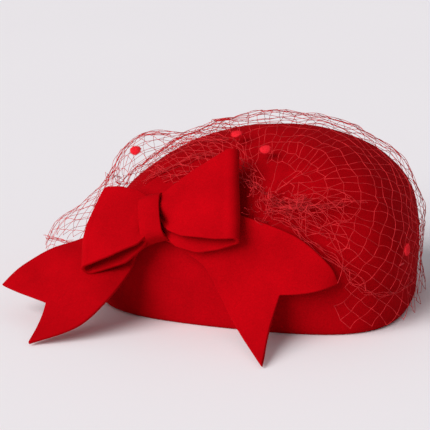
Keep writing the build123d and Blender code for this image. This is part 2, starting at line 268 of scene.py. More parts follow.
def add_node(tree, kind, inputs=None, **settings):
    """A node whose inputs are set to values or linked to sockets."""
    node = tree.nodes.new(kind)
    for key, value in settings.items():
        setattr(node, key, value)
    for key, value in (inputs or {}).items():
        if isinstance(value, bpy.types.NodeSocket):
            tree.links.new(value, node.inputs[key])
        else:
            node.inputs[key].default_value = value
    return node


def colour_ramp(tree, value, deep, bright, low=0.0, high=1.0):
    """A socket that runs from a deep to a bright colour as the value goes from low to high."""
    ramp = add_node(tree, "ShaderNodeValToRGB", {"Fac": value})
    first, last = ramp.color_ramp.elements
    first.position, first.color = low, (*deep, 1)
    last.position, last.color = high, (*bright, 1)
    return ramp.outputs["Color"]


def bump(tree, height, strength, distance, below=None):
    """A socket of normals moved by a height, over other bumps if there are any."""
    inputs = {"Height": height, "Strength": strength, "Distance": distance}
    if below is not None:
        inputs["Normal"] = below
    return add_node(tree, "ShaderNodeBump", inputs).outputs["Normal"]


def felt_material(name, deep, bright, sheen):
    """Wool felt: matted fibres, faint clouds of colour and a short nap that catches light."""
    material, tree, shader = node_material(name)
    place = add_node(tree, "ShaderNodeTexCoord").outputs["Object"]
    fibre = add_node(tree, "ShaderNodeTexNoise", {"Vector": place, "Scale": 1500.0, "Detail": 6.0,
                                                  "Roughness": 0.65, "Distortion": 1.2})
    mat = add_node(tree, "ShaderNodeTexNoise", {"Vector": place, "Scale": 420.0, "Detail": 4.0,
                                                "Roughness": 0.6, "Distortion": 2.5})
    cloud = add_node(tree, "ShaderNodeTexNoise", {"Vector": place, "Scale": 45.0, "Detail": 3.0})
    blend = add_node(tree, "ShaderNodeMath", {0: fibre.outputs["Fac"], 1: 0.45}, operation="MULTIPLY")
    blend = add_node(tree, "ShaderNodeMath", {0: mat.outputs["Fac"], 1: 0.35,
                                              2: blend.outputs[0]}, operation="MULTIPLY_ADD")
    blend = add_node(tree, "ShaderNodeMath", {0: cloud.outputs["Fac"], 1: 0.25,
                                              2: blend.outputs[0]}, operation="MULTIPLY_ADD")
    colour = colour_ramp(tree, blend.outputs[0], deep, bright, 0.32, 0.70)
    tree.links.new(colour, shader.inputs["Base Color"])
    rough = add_node(tree, "ShaderNodeMapRange", {"Value": mat.outputs["Fac"], "To Min": 0.82,
                                                  "To Max": 0.98})
    tree.links.new(rough.outputs["Result"], shader.inputs["Roughness"])
    shader.inputs["Specular IOR Level"].default_value = 0.02
    shader.inputs["Sheen Weight"].default_value = sheen
    shader.inputs["Sheen Roughness"].default_value = 0.45
    shader.inputs["Sheen Tint"].default_value = (1.0, 0.03, 0.04, 1)
    fine = bump(tree, fibre.outputs["Fac"], 0.35, 0.00025)
    coarse = bump(tree, mat.outputs["Fac"], 0.30, 0.0004, fine)
    tree.links.new(coarse, shader.inputs["Normal"])
    return material


def thread_material(name, dark, light, shine):
    """Nylon or silk thread with slight changes of tone along it."""
    material, tree, shader = node_material(name)
    place = add_node(tree, "ShaderNodeTexCoord").outputs["Object"]
    tone = add_node(tree, "ShaderNodeTexNoise", {"Vector": place, "Scale": 260.0, "Detail": 3.0})
    colour = colour_ramp(tree, tone.outputs["Fac"], dark, light, 0.35, 0.65)
    tree.links.new(colour, shader.inputs["Base Color"])
    shader.inputs["Roughness"].default_value = 1 - shine
    shader.inputs["Specular IOR Level"].default_value = 0.3
    twist = add_node(tree, "ShaderNodeTexNoise", {"Vector": place, "Scale": 5000.0, "Detail": 2.0})
    tree.links.new(bump(tree, twist.outputs["Fac"], 0.3, 0.0001), shader.inputs["Normal"])
    return material


# ---------------------------------------------------------------- crown

def make_crown(material):
    """The blocked felt: outer face, rolled edge, fold and inner face in one closed skin."""
    around, outer_rows, inner_rows, near_top = 224, 60, 40, 0.985
    turns = np.arange(around) / around
    rings = []
    for rise in np.linspace(near_top, 0.02, outer_rows):
        rings.append(form(turns, rise))
    for rise in (0, -0.3, -0.6, -0.82):
        rings.append(form(turns, rise))
    roll = [(0.35, 2.2), (1.1, 1.0), (2.2, 0.25), (3.6, 0.0), (5.4, 0.0), (6.2, 0.5)]
    for inset, z in roll:
        rings.append(form(turns, z / WIDEST_Z - 1, side=-inset))
    for inset, z in ((HEM_THICK, 1.5), (HEM_THICK, 8.6), (HEM_THICK - 0.9, HEM_HEIGHT),
                     (FELT + 1.2, HEM_HEIGHT), (FELT, HEM_HEIGHT + 0.8), (FELT, 16.0)):
        rings.append(form(turns, z / WIDEST_Z - 1, side=-inset))
    for rise in np.linspace(0.0, near_top, inner_rows):
        rings.append(form(turns, rise, side=-FELT, top=-FELT))
    grid = np.array(rings)
    normal = grid_normals(np.concatenate([grid, grid[:, :1]], 1))[:, :-1]
    soft = wobble(grid, 34.0, 0.7, 3.1) + wobble(grid, 11.0, 0.22, 8.4)
    fade = np.zeros(len(rings))
    fade[:outer_rows] = 1.0
    grid = grid + normal * (soft * fade[:, None])[..., None]
    points = np.vstack([grid.reshape(-1, 3), grid[0].mean(0) + [0, 0, 0.1],
                        grid[-1].mean(0) + [0, 0, 0.1]])
    faces = grid_faces(len(rings), around, wrap=True)
    last = (len(rings) - 1) * around
    for j in range(around):
        k = (j + 1) % around
        faces.append((j, len(points) - 2, k))
        faces.append((last + j, last + k, len(points) - 1))
    crown = mesh_object("crown_felt", points, faces, material)
    fix_normals(crown)
    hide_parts("crown_side", "crown_tip")
    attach(crown, "root")
    return crown


# ---------------------------------------------------------------- bow

def local_axes(along, out):
    """Three directions at right angles: along, across and out."""
    along = unit(along)
    out = unit(out - along * np.dot(out, along))
    return along, np.cross(out, along), out


def tail_grid(rows, side, notch_u, notch_v, curl):
    """The middle surface of a tail, from the knot to its swallow cut."""
    along, across, out = local_axes(KNOT_ALONG, KNOT_OUT)
    start = KNOT_POINT + out * TAIL_OUT + along * side * 1.2 - across * TAIL_DROP
    upper = [start + across * 11.0] + [np.array(a) for a, _ in rows]
    lower = [start - across * 11.0] + [np.array(b) for _, b in rows]
    fine = 400
    upper, lower = curve_through(upper, fine), curve_through(lower, fine)
    v = np.concatenate([np.linspace(0, notch_v, 15), np.linspace(notch_v, 1, 15)[1:]])
    v = np.insert(v, [1, 14, 15, len(v) - 1], [0.012, notch_v - 0.02, notch_v + 0.02, 0.988])
    share = np.where(v < notch_v, v / notch_v, (1 - v) / (1 - notch_v))
    u = np.concatenate([np.linspace(0, 0.985, 52), [0.996, 1.0]])
    end = 1 - (1 - notch_u) * share ** 1.08
    place = np.clip(u[:, None] * end[None], 0, 1) * (fine - 1)
    i = np.minimum(place.astype(int), fine - 2)
    f = (place - i)[..., None]
    a = lower[i] * (1 - f) + lower[i + 1] * f
    b = upper[i] * (1 - f) + upper[i + 1] * f
    grid = a + (b - a) * v[None, :, None]
    normal = grid_normals(grid)
    if normal[10, 10] @ KNOT_OUT < 0:
        normal = -normal
    cup = curl * np.sin(math.pi * v)[None] * np.sin(math.pi * np.clip(u, 0, 1))[:, None] ** 0.7
    soft = wobble(grid, 22.0, 1.1, 5.0 + side) * np.clip(u * 3, 0, 1)[:, None]
    return grid + normal * (cup + soft)[..., None]


RIGHT_LOOP = {
    "length": 52.5, "slant": lambda v: 2.0 * v, "dent": 3.6,
    "top": ([0, 0.5, 1], [10.5, 22.0, 32.0]),
    "front": ([0, 0.06, 0.12, 0.35, 0.8, 1], [-3.0, -8.0, -12.0, -19.0, -25.5, -27.0]),
    "back": ([0, 0.08, 0.17, 0.48, 0.8, 1], [-6.5, -15.0, -22.0, -29.0, -29.5, -28.5]),
}
LEFT_LOOP = {
    "length": 45.0, "slant": lambda v: -13.5 * np.clip((v + 0.35) / 1.35, 0, 1) ** 1.5, "dent": 1.6,
    "top": ([0, 0.25, 0.7, 1], [11.5, 18.0, 24.0, 26.0]),
    "front": ([0, 0.2, 0.6, 1], [-12.0, -20.5, -26.0, -29.0]),
    "back": ([0, 0.2, 0.45, 1], [-13.0, -21.0, -27.5, -30.5]),
}


def loop_grid(along, out, shape):
    """The middle surface of a bow loop: out along the front, round the fold and back."""
    along, across, out = local_axes(along, out)
    across = across * np.sign(across[2])
    origin = KNOT_POINT + unit(KNOT_OUT) * NECK_OUT
    fold_radius, neck_radius, neck_x = 4.4, 1.4, 2.6
    t_front = np.linspace(0, 1, 38) ** 1.15
    turn = np.linspace(math.pi / 2, -math.pi / 2, 13)[1:-1]
    v = np.concatenate([[-1, -0.985], np.linspace(-0.94, 0.94, 25), [0.985, 1]])
    rows = [(t, 1.0, 0.0) for t in t_front]
    rows += [(1.0, math.sin(a), math.cos(a)) for a in turn]
    rows += [(t, -1.0, 0.0) for t in t_front[::-1]]

    def ease(t, pairs):
        return float(np.interp(t, np.linspace(0, 1, EASE_STEPS), smooth_line(*pairs)))

    end = shape["length"] + shape["slant"](v)
    grid = []
    for t, face, beyond in rows:
        radius = neck_radius + (fold_radius - neck_radius) * t ** 0.9
        top = ease(t, shape["top"])
        front, back = ease(t, shape["front"]), ease(t, shape["back"])
        low = back + (front - back) * (face + 1) / 2
        y = low + (top - low) * (v + 1) / 2
        x = neck_x + t * (end - neck_x) + beyond * fold_radius
        z = face * radius + v * 0
        if beyond == 0:
            belly = math.sin(math.pi * min(t * 1.05, 1)) ** 0.8
            if face > 0:
                z = z + 3.0 * belly * (1 - 0.55 * v ** 2)
                pinch, dent = math.exp(-((t - 0.09) / 0.13) ** 2), shape["dent"]
                z = z - dent * pinch * np.exp(-((v + 0.55) / 0.30) ** 2)
                z = z + 0.6 * dent * pinch * np.exp(-((v - 0.20) / 0.40) ** 2)
                z = z + 0.9 * math.exp(-((t - 0.5) / 0.35) ** 2) * np.exp(-((v + 1.0) / 0.25) ** 2)
            else:
                z = z - 0.6 * belly - 0.8 * belly * np.exp(-((v + 1.0) / 0.3) ** 2)
        grid.append(origin + x[:, None] * along + y[:, None] * across + z[:, None] * out)
    grid = np.array(grid)
    normal = grid_normals(grid)
    return grid + normal * wobble(grid, 26.0, 0.7, 2.0 + shape["length"])[..., None]


def smooth_line(marks, values):
    """Values over even steps from 0 to 1, rounded at the marks between them."""
    spare = 12
    end = EASE_STEPS + spare
    fine = np.interp(np.linspace(-0.2, 1.2, EASE_STEPS + 2 * spare), marks, values)
    fine[:spare] = values[0] + (fine[spare + 1] - fine[spare]) * np.arange(-spare, 0)
    fine[end:] = values[-1] + (fine[end - 1] - fine[end - 2]) * np.arange(1, spare + 1)
    weights = np.array([1, 2, 3, 4, 3, 2, 1]) / 16
    return np.convolve(fine, weights, "same")[spare:end]


def knot_grid():
    """The middle surface of the wrap: up behind, over the front and down again."""
    along, across, out = local_axes(KNOT_ALONG, KNOT_OUT)
    low, high, front, back = -15.2, 12.4, 16.4, 4.2
    path = [(low, back), (low - 0.3, 8.0), (low, 12.2), (low + 2.2, front - 1.4),
            (-9.5, front - 0.2), (-6.0, front + 0.7), (-2.0, front + 1.2), (2.5, front + 1.0),
            (6.5, front + 0.2), (high - 2.6, front - 1.0), (high - 0.1, 12.4), (high + 0.2, 8.0),
            (high, back)]
    line = curve_through(path, 56)
    v = np.concatenate([[-1, -0.97], np.linspace(-0.9, 0.9, 13), [0.97, 1]])
    s = np.linspace(-1, 1, 56)
    half_width = 7.1 + 0.7 * s ** 2
    x = half_width[:, None] * v[None] - 1.4 * np.clip(-s, 0, 1)[:, None] - 0.6
    roll = 1.3 * (1 - v ** 2)
    y = line[:, :1] + 0 * v[None]
    z = line[:, 1:] + roll[None] * (1 - 0.5 * s[:, None] ** 2)
    grid = (KNOT_POINT + x[..., None] * along + y[..., None] * across + z[..., None] * out)
    return grid + grid_normals(grid) * wobble(grid, 14.0, 0.5, 9.0)[..., None]


def make_bow(material):
    """The five felt strips: two tails, two loops and the wrap round the middle."""
    strips = {
        "bow_left_tail": ("left_tail_felt", tail_grid(LEFT_TAIL, -1, 0.835, 0.44, 2.0)),
        "bow_right_tail": ("right_tail_felt", tail_grid(RIGHT_TAIL, 1, 0.79, 0.49, 2.5)),
        "bow_left_loop": ("left_loop_felt", loop_grid(LEFT_ALONG, LEFT_OUT, LEFT_LOOP)),
        "bow_right_loop": ("right_loop_felt", loop_grid(RIGHT_ALONG, RIGHT_OUT, RIGHT_LOOP)),
        "bow_knot": ("knot_felt", knot_grid()),
    }
    for node, (name, middle) in strips.items():
        piece = thick_strip(name, middle, BOW_FELT, material)
        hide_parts(node)
        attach(piece, "root")


# ---------------------------------------------------------------- net

THREAD, LOBE_THREAD = 0.17, 0.15
GATHER_POINT = np.array([21.5, -77.0, 86.0])
VEIL_SIDE, VEIL_TOP, VEIL_HEM = 1.8, 7.0, 2.5
GATHER_REACH, TANGLE = 30.0, 2.6
rng = np.random.default_rng(11)


def level_slope(points, side, top):
    """How form_level() changes along each axis."""
    step = 0.4
    parts = [form_level(points + step * axis, side, top) - form_level(points - step * axis, side, top)
             for axis in np.eye(3)]
    return np.stack(parts, -1) / (2 * step)


def settle(points, side=VEIL_SIDE, top=VEIL_TOP):
    """Points moved on to the crown form grown by side and top, and the outward directions there."""
    points = np.array(points, float)
    for _ in range(7):
        slope = level_slope(points, side, top)
        size = np.maximum((slope ** 2).sum(-1, keepdims=True), 1e-9)
        step = -form_level(points, side, top)[..., None] * slope / size
        reach = np.maximum(np.linalg.norm(step, axis=-1, keepdims=True), 1e-9)
        points += step * np.minimum(1, 3 / reach)
    return points, unit(level_slope(points, side, top))


def march(origin, bearings, steps, first, step, side=VEIL_SIDE, top=VEIL_TOP):
    """Straight walks over the crown from one point, one for each bearing."""
    start, normal = settle(origin[None], side, top)
    right = unit(np.array([1.0, 0, 0]) - normal[0] * normal[0][0])
    up = np.cross(normal[0], right)
    heading = np.cos(bearings)[:, None] * right + np.sin(bearings)[:, None] * up
    place = start[0] + heading * first
    place, normal = settle(place, side, top)
    path = [place]
    for _ in range(steps - 1):
        heading = unit(heading - normal * (heading * normal).sum(-1, keepdims=True))
        place, normal = settle(place + heading * step, side, top)
        path.append(place)
    return np.array(path)


def open_front(p):
    """True where the net stops short, round the bow and its tails."""
    x, y, z = p[..., 0], p[..., 1], p[..., 2]
    edge = np.interp(x, [-200, 4, 30, 44, 58, 66, 72, 78, 88], [86, 90, 80, 73, 64, 54, 34, 14, -5])
    under_tip = (x + 1.04 * z > 80) & (z < 25)
    return (y < -30) & (z < edge) & ~under_tip


def loosen(nodes, normal, slack, lift, seed):
    """Uneven cells: nodes pushed about in the sheet and off it."""
    flat = nodes.reshape(-1, 3)
    out = normal.reshape(-1, 3)
    push = np.stack([wobble(flat, 24.0, slack, seed + k) for k in (0.0, 7.3, 15.1)], -1)
    tangle = np.exp(-(np.linalg.norm(flat - GATHER_POINT, axis=1) / GATHER_REACH) ** 2)[:, None]
    push += rng.normal(0, 1, flat.shape) * (slack * 0.22 + TANGLE * tangle)
    push -= out * (push * out).sum(-1, keepdims=True)
    rise = np.clip(wobble(flat, 17.0, 1.0, seed + 31.0) + 0.25, -0.15, 1)[:, None] * lift
    return (flat + push + out * rise).reshape(nodes.shape)


def thread_between(a, b, out, bend):
    """One side of a cell, slightly slack."""
    length = np.linalg.norm(b - a)
    across = np.cross(unit(b - a), out)
    sag = rng.normal(0, bend * 0.07 * length)
    rise = abs(rng.normal(0, 0.05 * length)) * bend
    t = np.linspace(0, 1, 5)[:, None]
    return a + (b - a) * t + (across * sag + out * rise) * 4 * t * (1 - t)


def cell_sides(nodes, normal, alive, bend=0.7, diamond=False, longest=24.0):
    """Thread lines and knots of a net whose cells are squares or, from every second node, diamonds."""
    lines, knots = [], []
    rows, columns = nodes.shape[:2]
    steps = ((1, -1), (1, 1)) if diamond else ((1, 0), (0, 1))
    for j in range(rows):
        for i in range(columns):
            if (diamond and (i + j) % 2) or not alive[j, i]:
                continue
            knots.append(nodes[j, i])
            for dj, di in steps:
                m, k = j + dj, i + di
                if m < rows and 0 <= k < columns and alive[m, k]:
                    if np.linalg.norm(nodes[m, k] - nodes[j, i]) < longest:
                        lines.append(thread_between(nodes[j, i], nodes[m, k], normal[j, i], bend))
    return lines, knots


def ray_net(count, low, high, steps, first, step, slack, lift, seed, far=None, top=VEIL_TOP,
            side=VEIL_SIDE, shear=0.0, diamond=False):
    """Net fanned out from the gather: rays over the crown, joined by arcs round the gather."""
    bearings = np.radians(np.linspace(low, high, count))
    fine = march(GATHER_POINT, bearings, steps * 4, first, step / 4, side, top)
    lag = shear * np.sin(np.linspace(0, 3.5, count)) * step * 4
    ring = np.arange(steps)[:, None]
    index = ring * 4 + np.clip(lag[None] * 0.5, 0, 16) * np.clip(ring / 7, 0, 1)
    low_index = np.minimum(index.astype(int), steps * 4 - 2)
    part = (index - low_index).clip(0, 1)[..., None]
    column = np.arange(count)[None]
    nodes = fine[low_index, column] * (1 - part) + fine[low_index + 1, column] * part
    _, normal = settle(nodes, side, top)
    loose = loosen(nodes, normal, slack, lift, seed)
    flare = np.clip(1 - nodes[..., 2:] / 16, 0, 1)
    loose = loose + normal * flare * 4.5
    loose[..., 2] = np.maximum(loose[..., 2], 0.8)
    alive = ~open_front(nodes) & (nodes[..., 2] > VEIL_HEM - 2 * rng.random(nodes.shape[:2]))
    if far is not None:
        alive &= far(nodes)
    else:
        reach = np.linalg.norm(nodes - GATHER_POINT, axis=-1)
        alive &= rng.random(reach.shape) > 0.55 * np.exp(-(reach / GATHER_REACH) ** 4)
    return cell_sides(loose, normal, alive, diamond=diamond)


def along_felt(points, rise=1.2):
    """Points laid on the felt of the crown."""
    return settle(np.asarray(points, float), rise, rise)[0]


def bundle(points, strands, spread, waves, seed, samples=44, on_felt=None):
    """Strands of a fold in the net, running together and crossing one another."""
    spread_rng = np.random.default_rng(seed)
    line = curve_through(points, samples)
    if on_felt is not None:
        line = along_felt(line, on_felt)
    run = unit(np.gradient(line, axis=0))
    side = unit(np.cross(run, [0.2, -0.9, 0.4]))
    out = np.cross(side, run)
    t = np.linspace(0, 1, samples)
    lines = []
    for _ in range(strands):
        a = sum(spread_rng.normal(0, 1) / k * np.sin(k * math.pi * t * waves / 3
                                                    + spread_rng.uniform(0, 6.3)) for k in (1, 2, 3, 5))
        b = sum(spread_rng.normal(0, 1) / k * np.sin(k * math.pi * t * waves / 3
                                                    + spread_rng.uniform(0, 6.3)) for k in (1, 2, 3))
        low, high = sorted(spread_rng.uniform(0, 1, 2))
        if high - low < 0.4:
            low, high = 0.0, 1.0
        keep = (t >= low * 0.5) & (t <= 0.5 + high * 0.5)
        strand = line + spread * 0.55 * (a[:, None] * side + np.abs(b)[:, None] * 0.5 * out)
        lines.append(strand[keep])
    return lines


def curls(centre, semi, count, size, seed):
    """Loose loops of thread round a point."""
    curl_rng = np.random.default_rng(seed)
    lines = []
    for _ in range(count):
        middle = centre + np.asarray(semi) * curl_rng.uniform(-1, 1, 3)
        t = np.linspace(0, curl_rng.uniform(0.8, 1.7) * 2 * math.pi, 18)
        u, v = unit(curl_rng.normal(0, 1, 3)), unit(curl_rng.normal(0, 1, 3))
        r = size * curl_rng.uniform(0.5, 1.3)
        lines.append(middle + r * (np.cos(t)[:, None] * u + np.sin(t)[:, None] * v)
                     + (t[:, None] / 6.3) * curl_rng.normal(0, size * 0.7, 3))
    return lines


def broken(lines, length=9.0):
    """Long strands cut into cell sides, with the points where they are knotted."""
    parts, knots = [], []
    for line in lines:
        if len(line) < 4:
            continue
        total = np.linalg.norm(np.diff(line, axis=0), axis=1).sum()
        count = max(1, int(total / length))
        marks = np.linspace(0, len(line) - 1, count + 1).astype(int)
        for a, b in zip(marks[:-1], marks[1:]):
            if b > a:
                parts.append(line[a:b + 1])
                knots.append(line[b])
    return parts, knots


def build_cap():
    """The main net: squarer cells behind the gather and slack diamonds over the front."""
    lines, knots = ray_net(34, -64, 122, 36, 10.0, 8.4, 2.6, 4.2, 1.0, shear=0.35)
    more, ties = ray_net(46, 118, 240, 46, 9.0, 6.2, 3.0, 4.0, 2.0, diamond=True)
    return lines + more, knots + ties


def build_gather():
    """The net's doubled folds beside the gather, with loops of thread at the gather itself."""
    lines, knots = [], []

    def near(p):
        return np.linalg.norm(p - GATHER_POINT, axis=-1) < 72 - 24 * rng.random(p.shape[:2])

    for k, (count, low, high, step, top) in enumerate(
            [(12, -52, 12, 7.4, 8.0), (9, -48, 18, 8.6, 9.0)]):
        a, b = ray_net(count, low, high, 11, 10.0, step, 4.6, 5.0, 40.0 + 9 * k, near, top, 3.0 + k,
                       diamond=True)
        lines += a
        knots += b
    strands = []
    for k in range(9):
        end = GATHER_POINT + np.array([rng.uniform(26, 62), rng.uniform(0, 8), rng.uniform(-34, 8)])
        middle = (GATHER_POINT + end) / 2 + rng.normal(0, 5, 3)
        strands += bundle([GATHER_POINT + rng.normal(0, 3, 3), middle, end], 1, 2.0, 6, 60 + k,
                          on_felt=3.0)
    strands += curls(GATHER_POINT + [0, -1.5, 0.0], (8, 3, 12), 17, 3.6, 5)
    strands += curls(GATHER_POINT + [15, -1.0, -5.0], (14, 3, 9), 11, 4.4, 6)
    a, b = broken(strands)
    return lines + a, knots + b


LOBE_RIDGE = [(-22, 114), (-43, 110), (-60, 109), (-76, 109), (-86, 105.5), (-95, 96), (-102, 83),
              (-112, 68), (-128, 54), (-143, 43), (-151, 31), (-155, 20)]
LOBE_Y = -12.0
# A share of a net's width times its length: the least to which make_veil() raises the threads' measured
# area.
LEAST_AREA_SHARE = 0.301
# Each net's CAD node and a flat size for it, in metres. These sizes are
# smaller than the net's real cut, so that the threads' own surface is near LEAST_AREA_SHARE of them.
NET_CUTS = [("veil_cap", (0.30, 0.25)), ("veil_gather", (0.08, 0.07)), ("veil_front", (0.15, 0.095))]


def lobe_grid(rows, columns):
    """The free lobe: out from the crown, over a bulge and down to a bunched hem."""
    ridge = curve_through([(x, z) for x, z in LOBE_RIDGE], 200)
    gaps = np.linalg.norm(np.diff(ridge, axis=0), axis=1)
    length = np.concatenate([[0], np.cumsum(gaps)]) / gaps.sum()
    u = np.linspace(0, 1, rows)
    x, z = np.interp(u, length, ridge[:, 0]), np.interp(u, length, ridge[:, 1])
    slope = unit(np.stack([np.gradient(x), np.gradient(z)], -1))
    out = np.stack([-slope[:, 1], slope[:, 0]], -1)
    out = out * np.where(out @ np.array([-0.6, 0.8]) < 0, -1, 1)[:, None]
    half = np.interp(u, [0, 0.25, 0.6, 0.85, 1], [46, 46, 40, 33, 22])
    depth = np.interp(u, [0, 0.2, 0.5, 0.8, 1], [10, 16, 26, 20, 10])
    v = np.linspace(-1, 1, columns)
    grid = np.zeros((rows, columns, 3))
    grid[..., 0] = x[:, None] - out[:, :1] * depth[:, None] * v ** 2
    grid[..., 1] = LOBE_Y + half[:, None] * v
    grid[..., 2] = z[:, None] - out[:, 1:] * depth[:, None] * v ** 2
    return grid


def build_lobe():
    """The free lobe's net, with the folds along its ridge, its hem and its near side."""
    grid = lobe_grid(25, 17)
    normal = grid_normals(grid)
    if normal[12, 8] @ np.array([-0.6, 0, 0.8]) < 0:
        normal = -normal
    loose = loosen(grid, normal, 1.9, 1.6, 70.0)
    alive = (form_level(grid, 1.0, 1.0) > 0) & (grid[..., 2] > 22)
    lines, knots = cell_sides(loose, normal, alive, 0.8, diamond=True)
    folds = bundle([(-60, -14, 109), (-78, -14, 108.5), (-87, -14, 104), (-95, -15, 95),
                    (-102, -15, 82), (-107, -16, 71)], 4, 1.3, 5, 3)
    folds += bundle([(-153, -20, 33), (-146, -24, 31), (-136, -30, 32), (-124, -36, 34)], 5, 1.6, 4, 4)
    folds += bundle([(-90, -34, 94), (-96, -34, 83), (-100, -36, 75), (-107, -40, 62)], 3, 2.6, 6, 6)
    folds += curls(np.array([-94.0, -34.0, 82.0]), (6, 4, 8), 6, 4.0, 8)
    a, b = broken(folds)
    return lines + a, knots + b


def crown_folds():
    """Slack folds over the top of the crown, above the bow."""
    folds = bundle([(-8, -46, 104), (-30, -44, 104), (-52, -48, 94), (-66, -52, 84)], 5, 2.6, 6, 21,
                   on_felt=2.5)
    folds += bundle([(-14, -30, 112), (-40, -20, 110), (-66, -16, 104)], 5, 1.8, 5, 22, on_felt=3.0)
    folds += bundle([(18, -70, 92), (-4, -60, 98), (-30, -56, 96), (-50, -58, 88)], 4, 3.4, 6, 23,
                    on_felt=2.0)
    folds += bundle([(30, -74, 82), (52, -66, 80), (76, -50, 78)], 4, 2.8, 7, 25, on_felt=3.0)
    folds += bundle([(30, -76, 76), (50, -74, 62), (70, -70, 46), (82, -66, 30)], 5, 3.0, 7, 26,
                    on_felt=2.5)
    folds += bundle([(82, -66, 30), (94, -48, 24), (104, -20, 26)], 3, 2.5, 6, 27, on_felt=3.0)
    folds += curls(np.array([-34.0, -56.0, 94.0]), (22, 4, 7), 9, 4.0, 28)
    return broken(folds)


def make_veil(material):
    """The three nets. The cap and gather go on the root; the lobe's transform is baked into its points.
    """
    lines, knots = build_cap()
    more, ties = crown_folds()
    cap = thread_mesh("veil_cap_net", lines + more, knots + ties, material, THREAD)
    gather = thread_mesh("veil_gather_net", *build_gather(), material, THREAD)
    lobe = thread_mesh("veil_lobe_net", *build_lobe(), material, LOBE_THREAD)
    for piece, (node, flat) in zip((cap, gather, lobe), NET_CUTS):
        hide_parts(node)
        area = sum(p.area for p in piece.data.polygons)
        area = min(max(area, LEAST_AREA_SHARE * flat[0] * flat[1]), flat[0] * flat[1])
    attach(cap, "root")
    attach(gather, "root")
    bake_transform(lobe)


# ---------------------------------------------------------------- dots

def make_dot(centre, out, seed):
    """A chenille dot: a soft core with a short pile standing off it."""
    size, hairs = 4.3, 620
    dot_rng = np.random.default_rng(seed)
    out = unit(np.asarray(out, float))
    side = unit(np.cross(out, [0.3, 0.9, 0.1]))
    other = np.cross(out, side)
    rows, columns = 9, 20
    points = [centre + out * 1.0]
    for i in range(1, rows):
        bend = math.pi * i / rows
        for j in range(columns):
            around = 2 * math.pi * j / columns
            r = size * 0.86 * (1 + 0.05 * math.sin(3 * around + seed) + dot_rng.normal(0, 0.02))
            ring = math.cos(around) * side + math.sin(around) * other
            points.append(centre + r * math.sin(bend) * ring + out * (1.0 * math.cos(bend)))
    points.append(centre - out * 1.0)
    faces = [(0, 1 + j, 1 + (j + 1) % columns) for j in range(columns)]
    faces += grid_faces(rows - 1, columns, 1, wrap=True)
    last = 1 + (rows - 2) * columns
    faces += [(len(points) - 1, last + (j + 1) % columns, last + j) for j in range(columns)]
    for _ in range(hairs):
        ray = unit(dot_rng.normal(0, 1, 3))
        spread = np.array([ray @ side, ray @ other, ray @ out])
        foot = centre + 0.8 * size * (spread[0] * side + spread[1] * other) + 0.9 * spread[2] * out
        tip = foot + (spread[0] * side + spread[1] * other + 0.5 * spread[2] * out) * 0.9 \
            + dot_rng.normal(0, 0.28, 3)
        width = unit(np.cross(tip - foot, dot_rng.normal(0, 1, 3))) * 0.07
        start = len(points)
        points += [foot - width, foot + width, tip]
        faces.append((start, start + 1, start + 2))
    return points, faces


# Turn and rise of each dot round the crown, in degrees.
CAP_DOTS = [(277.5, 52), (258, 62.5), (339, 7), (62, 30), (108, 34), (150, 14), (75, 10)]
# Centre and outward direction of the dot on the free lobe.
LOBE_DOT = (np.array([-77.0, -37.5, 102.6]), np.array([0.02, -0.62, 0.78]))


def on_cap(turn, rise):
    """A place on the outside of the net over the crown, and the outward direction there."""
    centre, out = settle(form(turn / 360, rise / 90, 2.0, 6.4)[None], 4.2, 9.2)
    return centre[0], out[0]


def make_dots():
    """All the dots, sewn to the outside of the net."""
    pile = felt_material("chenille_pile", (0.50, 0.003, 0.010), (0.92, 0.030, 0.045), 0.25)
    groups = (("veil_dots", "root", [on_cap(*place) for place in CAP_DOTS]),
              ("veil_front_dots", "veil_front", [LOBE_DOT]))
    for node, body, places in groups:
        points, faces = [], []
        for k, (centre, out) in enumerate(places):
            dot_points, dot_faces = make_dot(centre, out, k + 1)
            faces += [tuple(i + len(points) for i in face) for face in dot_faces]
            points += dot_points
        dots = mesh_object(node + "_pile", points, faces, pile)
        fix_normals(dots)
        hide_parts(node)
        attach(dots, body)


# ---------------------------------------------------------------- trims inside, on the CAD pieces

def ribbed_material(name, deep, bright, count):
    """Petersham: close upright ribs, a given number of them in a full turn, with painted shade in the
    colour between the ribs.
    """
    material, tree, shader = node_material(name)
    place = add_node(tree, "ShaderNodeTexCoord").outputs["Object"]
    split = add_node(tree, "ShaderNodeSeparateXYZ", {"Vector": place})
    turn = add_node(tree, "ShaderNodeMath", {0: split.outputs["Y"], 1: split.outputs["X"]},
                    operation="ARCTAN2")
    ribs = add_node(tree, "ShaderNodeMath", {0: turn.outputs[0], 1: count}, operation="MULTIPLY")
    wave = add_node(tree, "ShaderNodeMath", {0: ribs.outputs[0]}, operation="SINE")
    weft = add_node(tree, "ShaderNodeTexNoise", {"Vector": place, "Scale": 2600.0, "Detail": 3.0})
    height = add_node(tree, "ShaderNodeMath", {0: wave.outputs[0], 1: 0.5, 2: weft.outputs["Fac"]},
                      operation="MULTIPLY_ADD")
    # Colour follows the rib height: painted shade in the troughs between ribs, plus random tone from the
    # weft.
    tree.links.new(colour_ramp(tree, height.outputs[0], deep, bright), shader.inputs["Base Color"])
    tree.links.new(bump(tree, height.outputs[0], 0.5, 0.0003), shader.inputs["Normal"])
    shader.inputs["Roughness"].default_value = 0.62
    shader.inputs["Sheen Weight"].default_value = 0.15
    return material


